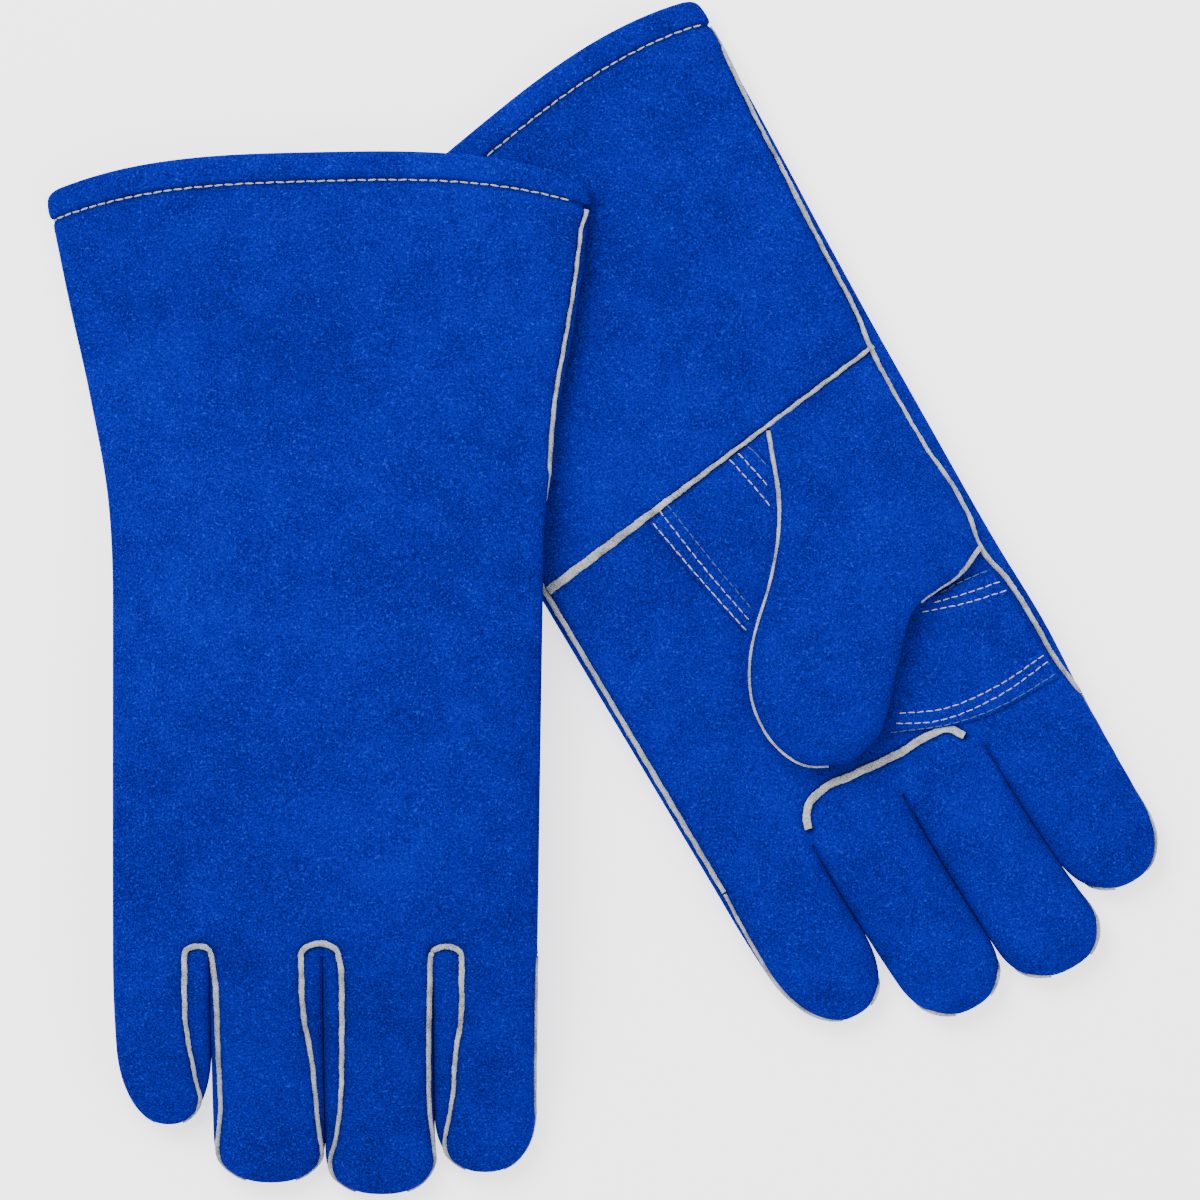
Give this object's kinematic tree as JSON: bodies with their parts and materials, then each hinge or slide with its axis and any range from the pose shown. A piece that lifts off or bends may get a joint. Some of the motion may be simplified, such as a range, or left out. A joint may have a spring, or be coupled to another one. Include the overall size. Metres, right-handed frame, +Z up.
{
  "type": "welding gloves",
  "caption": "Pair of lined split-leather welding gauntlets with flared cuffs, welted seams and stitched palm patches; one lies palm up, the other back up over its cuff.",
  "frame": {"origin": "centre of the pair's bounding box, on the surface that the gloves lie on", "axes": "+Z up; the right-hand glove's fingers point along -Y; +X towards the left-hand glove"},
  "size_m": [0.3784, 0.4076, 0.0408],
  "materials": {
    "leather": "matte suede",
    "welt": "raw edge",
    "lining": "fleece",
    "thread": "twisted"
  },
  "bodies": {
    "left_hand": {"left_back_panel": "leather", "left_palm_panel": "leather", "left_cuff_front": "leather", "left_thumb_wing": "leather", "left_palm_patch": "leather", "left_seam_welts": "welt", "left_crotch_welts": "welt", "left_hand_lining": "lining", "left_cuff_lining": "lining", "left_stitching": "thread"},
    "left_thumb": {"left_thumb_outer": "leather", "left_thumb_inner": "leather", "left_thumb_welt": "welt", "left_thumb_lining": "lining"},
    "left_little": {"left_little_back": "leather", "left_little_front": "leather", "left_little_welt": "welt", "left_little_lining": "lining"},
    "left_ring": {"left_ring_back": "leather", "left_ring_front": "leather", "left_ring_welt": "welt", "left_ring_lining": "lining"},
    "left_middle": {"left_middle_back": "leather", "left_middle_front": "leather", "left_middle_welt": "welt", "left_middle_lining": "lining"},
    "left_index": {"left_index_back": "leather", "left_index_front": "leather", "left_index_welt": "welt", "left_index_lining": "lining"},
    "right_hand": {"right_back_panel": "leather", "right_palm_panel": "leather", "right_cuff_front": "leather", "right_thumb_wing": "leather", "right_palm_patch": "leather", "right_seam_welts": "welt", "right_crotch_welts": "welt", "right_hand_lining": "lining", "right_cuff_lining": "lining", "right_stitching": "thread"},
    "right_thumb": {"right_thumb_outer": "leather", "right_thumb_inner": "leather", "right_thumb_welt": "welt", "right_thumb_lining": "lining"},
    "right_little": {"right_little_back": "leather", "right_little_front": "leather", "right_little_welt": "welt", "right_little_lining": "lining"},
    "right_ring": {"right_ring_back": "leather", "right_ring_front": "leather", "right_ring_welt": "welt", "right_ring_lining": "lining"},
    "right_middle": {"right_middle_back": "leather", "right_middle_front": "leather", "right_middle_welt": "welt", "right_middle_lining": "lining"},
    "right_index": {"right_index_back": "leather", "right_index_front": "leather", "right_index_welt": "welt", "right_index_lining": "lining"}
  },
  "joints": [
    {"name": "right_glove_lift", "type": "slide", "parent": "left_hand", "child": "right_hand", "axis": [0, 0, 1], "range_m": [0, 0.2]},
    {"name": "left_little_fold", "type": "hinge", "parent": "left_hand", "child": "left_little", "pos_m": [0.05677, -0.09288, 0.02114], "axis": [-0.8712, -0.4909, 0], "range_deg": [0, 75]},
    {"name": "left_ring_fold", "type": "hinge", "parent": "left_hand", "child": "left_ring", "pos_m": [0.08814, -0.0752, 0.02114], "axis": [-0.8712, -0.4909, 0], "range_deg": [0, 75]},
    {"name": "left_middle_fold", "type": "hinge", "parent": "left_hand", "child": "left_middle", "pos_m": [0.11798, -0.05838, 0.02114], "axis": [-0.8712, -0.4909, 0], "range_deg": [0, 75]},
    {"name": "left_index_fold", "type": "hinge", "parent": "left_hand", "child": "left_index", "pos_m": [0.14825, -0.04133, 0.02114], "axis": [-0.8712, -0.4909, 0], "range_deg": [0, 75]},
    {"name": "left_thumb_fold", "type": "hinge", "parent": "left_hand", "child": "left_thumb", "pos_m": [0.09387, 0.03747, 0.03593], "axis": [-0.8794, 0.476, 0], "range_deg": [0, 80]},
    {"name": "right_little_fold", "type": "hinge", "parent": "right_hand", "child": "right_little", "pos_m": [-0.15006, -0.12181, 0.03553], "axis": [-1, 0, 0], "range_deg": [0, 35]},
    {"name": "right_ring_fold", "type": "hinge", "parent": "right_hand", "child": "right_ring", "pos_m": [-0.11406, -0.12181, 0.03762], "axis": [-1, 0, 0], "range_deg": [0, 35]},
    {"name": "right_middle_fold", "type": "hinge", "parent": "right_hand", "child": "right_middle", "pos_m": [-0.07606, -0.12181, 0.03762], "axis": [-1, 0, 0], "range_deg": [0, 35]},
    {"name": "right_index_fold", "type": "hinge", "parent": "right_hand", "child": "right_index", "pos_m": [-0.03956, -0.12181, 0.03762], "axis": [-1, 0, 0], "range_deg": [0, 35]},
    {"name": "right_thumb_fold", "type": "hinge", "parent": "right_hand", "child": "right_thumb", "pos_m": [-0.04876, -0.02646, 0.00322], "axis": [0.5325, -0.8464, 0], "range_deg": [0, 60]}
  ]
}
